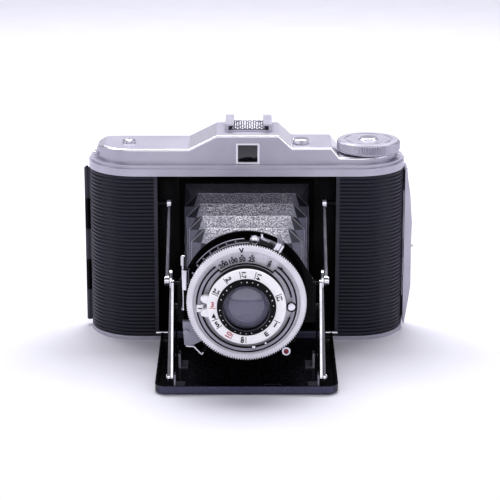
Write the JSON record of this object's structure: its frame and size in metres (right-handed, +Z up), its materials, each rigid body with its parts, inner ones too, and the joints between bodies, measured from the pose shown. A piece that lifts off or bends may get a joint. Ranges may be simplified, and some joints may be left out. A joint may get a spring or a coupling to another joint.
{
  "type": "folding viewfinder camera",
  "caption": "Folding medium-format roll-film camera with a top viewfinder, drop-down front door, bellows, leaf shutter and a hinged back.",
  "frame": {"origin": "centre of the tripod socket's mouth, in the plane of the base plate's underside", "axes": "+Z up, -Y towards the subject along the lens axis, +X to the right of someone facing the front"},
  "size_m": [0.1558, 0.1156, 0.1013],
  "materials": {
    "black_enamel": "gloss",
    "satin_alloy": "satin",
    "brass": "satin",
    "leatherette": "ribbed",
    "grey_trim": "satin",
    "white_enamel": "satin",
    "matt_black": "matt",
    "glass": "polished",
    "red_glass": "polished",
    "chrome": "polished",
    "bellows_cloth": "creased"
  },
  "bodies": {
    "camera_body": {"body_casting": "black_enamel", "base_plate": "satin_alloy", "tripod_bush": "brass", "leather_front_left": "leatherette", "leather_front_right": "leatherette", "opening_trim": "grey_trim", "top_rim": "satin_alloy", "top_cover": "satin_alloy", "finder_frame": "white_enamel", "finder_tube": "matt_black", "finder_lenses": "glass", "accessory_shoe": "chrome", "shoe_spring": "chrome", "cover_screws": "chrome", "bellows_frame": "matt_black", "bellows": "bellows_cloth", "door_hinge_pin": "chrome", "back_hinge": "black_enamel"},
    "film_roller_left": {"film_roller_left": "chrome"},
    "film_roller_right": {"film_roller_right": "chrome"},
    "advance_knob": {"advance_knob": "satin_alloy", "knob_cap": "chrome", "winding_key": "chrome", "take_up_spool": "matt_black"},
    "release_button": {"release_button": "chrome"},
    "opener_button": {"opener_button": "chrome"},
    "back_cover": {"back_cover": "black_enamel", "leather_back": "leatherette", "red_window": "red_glass", "pressure_plate": "matt_black", "pressure_springs": "brass", "latch_plate": "chrome"},
    "window_slide": {"window_slide": "black_enamel"},
    "latch_knob": {"latch_knob": "black_enamel"},
    "front_door": {"door_panel": "black_enamel", "door_covering": "leatherette", "door_brackets": "grey_trim", "door_catch": "black_enamel"},
    "standard_struts": {"standard_struts": "black_enamel"},
    "lower_braces": {"lower_braces": "chrome"},
    "upper_braces": {"upper_braces": "chrome"},
    "black_links": {"black_links": "black_enamel"},
    "standard": {"standard_plate": "black_enamel", "shutter_case": "satin_alloy", "rear_lens_cell": "matt_black", "rear_lens": "glass", "aperture_leaves": "matt_black", "cable_socket": "chrome", "sync_socket": "grey_trim"},
    "shutter_blade_1": {"shutter_blade_1": "matt_black"},
    "shutter_blade_2": {"shutter_blade_2": "matt_black"},
    "shutter_blade_3": {"shutter_blade_3": "matt_black"},
    "speed_ring": {"speed_ring": "satin_alloy"},
    "focus_ring": {"focus_ring": "satin_alloy", "front_lens_cell": "matt_black", "front_lens": "glass"},
    "aperture_lever": {"aperture_lever": "chrome"},
    "timer_lever": {"timer_lever": "chrome"},
    "shutter_lever": {"shutter_lever": "chrome"},
    "release_rod": {"release_rod": "chrome"}
  },
  "joints": [
    {"name": "door_fold", "type": "hinge", "parent": "camera_body", "child": "front_door", "pos_m": [0, -0.0185, 0.0036], "axis": [-1, 0, 0], "range_deg": [0, 90], "deforming": ["bellows"]},
    {"name": "strut_fold", "type": "hinge", "parent": "front_door", "child": "standard_struts", "pos_m": [0, -0.0885, 0.0066], "axis": [-1, 0, 0], "range_deg": [0, 34.06]},
    {"name": "standard_level", "type": "hinge", "parent": "standard_struts", "child": "standard", "pos_m": [0, -0.069, 0.0433], "axis": [-1, 0, 0], "range_deg": [-124.06, 0]},
    {"name": "lower_brace_fold", "type": "hinge", "parent": "front_door", "child": "lower_braces", "pos_m": [0, -0.0885, 0.0066], "axis": [-1, 0, 0], "range_deg": [0, 34.68]},
    {"name": "upper_brace_fold", "type": "hinge", "parent": "camera_body", "child": "upper_braces", "pos_m": [0, -0.0165, 0.066], "axis": [-1, 0, 0], "range_deg": [-58.59, 0]},
    {"name": "link_fold", "type": "hinge", "parent": "front_door", "child": "black_links", "pos_m": [0, -0.0601, 0.0066], "axis": [-1, 0, 0], "range_deg": [0, 63.19]},
    {"name": "speed_ring_turn", "type": "hinge", "parent": "standard", "child": "speed_ring", "pos_m": [0, 0, 0.0393], "axis": [0, -1, 0], "range_deg": [-33.8, 23]},
    {"name": "focus_ring_turn", "type": "hinge", "parent": "standard", "child": "focus_ring", "pos_m": [0, 0, 0.0393], "axis": [0, -1, 0], "range_deg": [-173.8, 121.2]},
    {"name": "aperture_lever_turn", "type": "hinge", "parent": "standard", "child": "aperture_lever", "pos_m": [0, 0, 0.0393], "axis": [0, -1, 0], "range_deg": [-22, 0]},
    {"name": "timer_lever_turn", "type": "hinge", "parent": "standard", "child": "timer_lever", "pos_m": [0, 0, 0.0393], "axis": [0, -1, 0], "range_deg": [0, 30]},
    {"name": "shutter_lever_turn", "type": "hinge", "parent": "standard", "child": "shutter_lever", "pos_m": [0, 0, 0.0393], "axis": [0, -1, 0], "range_deg": [-14, 0], "stiffness_Nm_per_rad": 0.05},
    {"name": "release_rod_press", "type": "slide", "parent": "standard", "child": "release_rod", "axis": [0, 0, -1], "range_m": [0, 0.0025], "stiffness_N_per_m": 200, "springref_m": -0.001},
    {"name": "shutter_blade_1_open", "type": "hinge", "parent": "standard", "child": "shutter_blade_1", "pos_m": [0, -0.077, 0.0538], "axis": [0, -1, 0], "range_deg": [0, 38], "stiffness_Nm_per_rad": 0.002},
    {"name": "shutter_blade_2_open", "type": "hinge", "parent": "standard", "child": "shutter_blade_2", "pos_m": [-0.01256, -0.077, 0.03205], "axis": [0, -1, 0], "range_deg": [0, 38.5]},
    {"name": "shutter_blade_3_open", "type": "hinge", "parent": "standard", "child": "shutter_blade_3", "pos_m": [0.01256, -0.077, 0.03205], "axis": [0, -1, 0], "range_deg": [0, 38.5]},
    {"name": "film_advance", "type": "hinge", "parent": "camera_body", "child": "advance_knob", "pos_m": [0.0567, -0.0015, 0], "axis": [0, 0, 1], "continuous": true},
    {"name": "film_roller_left_turn", "type": "hinge", "parent": "camera_body", "child": "film_roller_left", "pos_m": [-0.046, 0.0098, 0], "axis": [0, 0, 1], "continuous": true},
    {"name": "film_roller_right_turn", "type": "hinge", "parent": "camera_body", "child": "film_roller_right", "pos_m": [0.046, 0.0098, 0], "axis": [0, 0, 1], "continuous": true},
    {"name": "release_button_press", "type": "slide", "parent": "camera_body", "child": "release_button", "axis": [0, 0, -1], "range_m": [0, 0.0018], "stiffness_N_per_m": 300, "springref_m": -0.001},
    {"name": "opener_button_press", "type": "slide", "parent": "camera_body", "child": "opener_button", "axis": [0, 0, -1], "range_m": [0, 0.0015], "stiffness_N_per_m": 300, "springref_m": -0.001},
    {"name": "back_cover_open", "type": "hinge", "parent": "camera_body", "child": "back_cover", "pos_m": [-0.0754, 0.006, 0], "axis": [0, 0, 1], "range_deg": [0, 110]},
    {"name": "window_slide_open", "type": "slide", "parent": "back_cover", "child": "window_slide", "axis": [1, 0, 0], "range_m": [0, 0.012]},
    {"name": "latch_knob_press", "type": "slide", "parent": "back_cover", "child": "latch_knob", "axis": [0, 0, -1], "range_m": [0, 0.004], "stiffness_N_per_m": 150, "springref_m": -0.001}
  ],
  "couplings": [
    {"joint": "strut_fold", "follows": "door_fold", "ratio": 0.37293},
    {"joint": "standard_level", "follows": "door_fold", "ratio": -1.3729},
    {"joint": "lower_brace_fold", "follows": "door_fold", "ratio": 0.37976},
    {"joint": "upper_brace_fold", "follows": "door_fold", "ratio": -0.6455},
    {"joint": "link_fold", "follows": "door_fold", "ratio": 0.69657},
    {"joint": "shutter_blade_2_open", "follows": "shutter_blade_1_open", "ratio": 1},
    {"joint": "shutter_blade_3_open", "follows": "shutter_blade_1_open", "ratio": 1}
  ]
}
